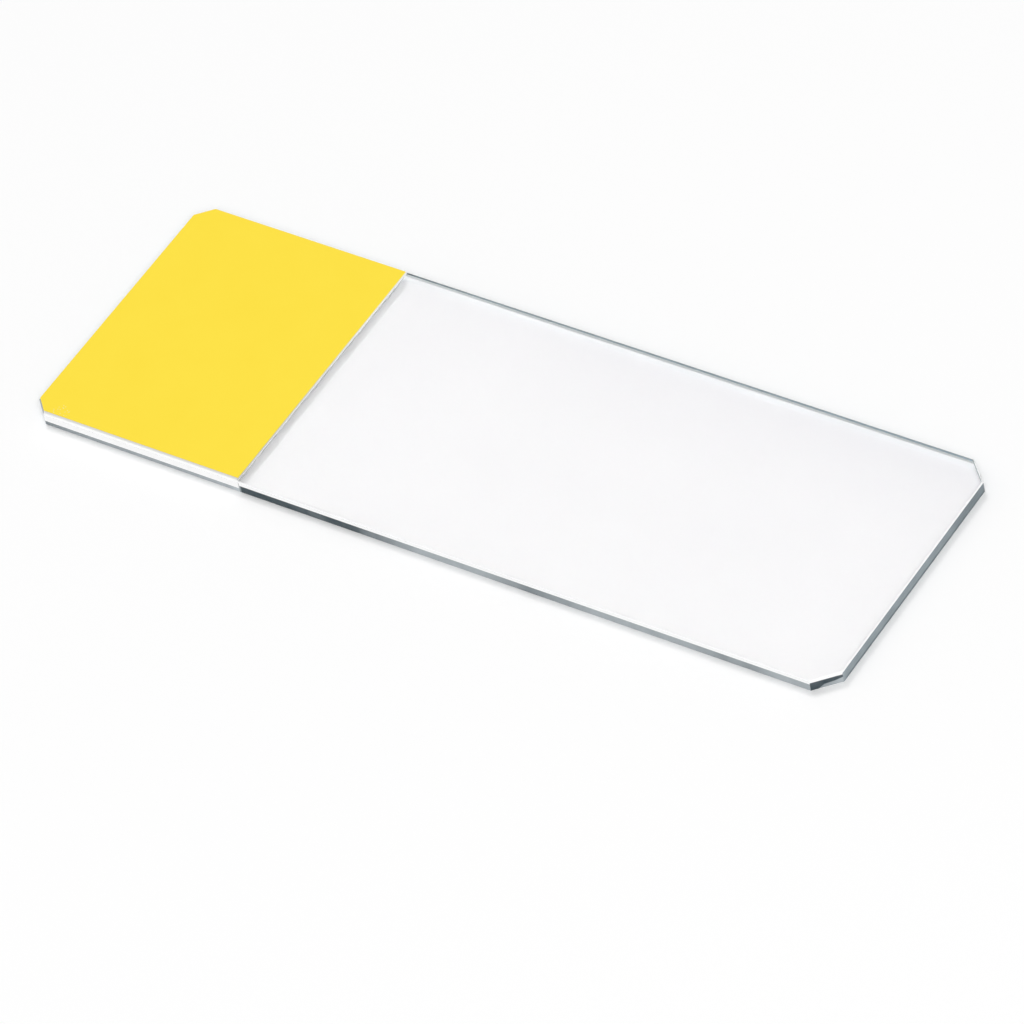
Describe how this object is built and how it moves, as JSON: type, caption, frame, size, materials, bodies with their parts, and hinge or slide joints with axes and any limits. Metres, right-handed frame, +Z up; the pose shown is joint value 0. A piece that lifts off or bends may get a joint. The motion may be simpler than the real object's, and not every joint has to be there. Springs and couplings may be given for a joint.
{
  "type": "microscope slide",
  "caption": "Flat glass plate with ground edges and clipped corners that carries a specimen under a microscope, with a coloured marking field across one end.",
  "frame": {"origin": "centre of the plate's underside", "axes": "+X along the length, away from the marking field; +Y across the width; +Z up, out of the face that takes the specimen"},
  "size_m": [0.076, 0.026, 0.0013],
  "materials": {
    "clear_glass": "polished faces, finely ground edges and bevels",
    "white_coat": "matt cured ink",
    "yellow_coat": "matt cured ink that takes pencil and marker"
  },
  "bodies": {
    "root": {"glass_plate": "clear_glass", "white_ground_coat": "white_coat", "yellow_marking_coat": "yellow_coat"}
  },
  "joints": []
}
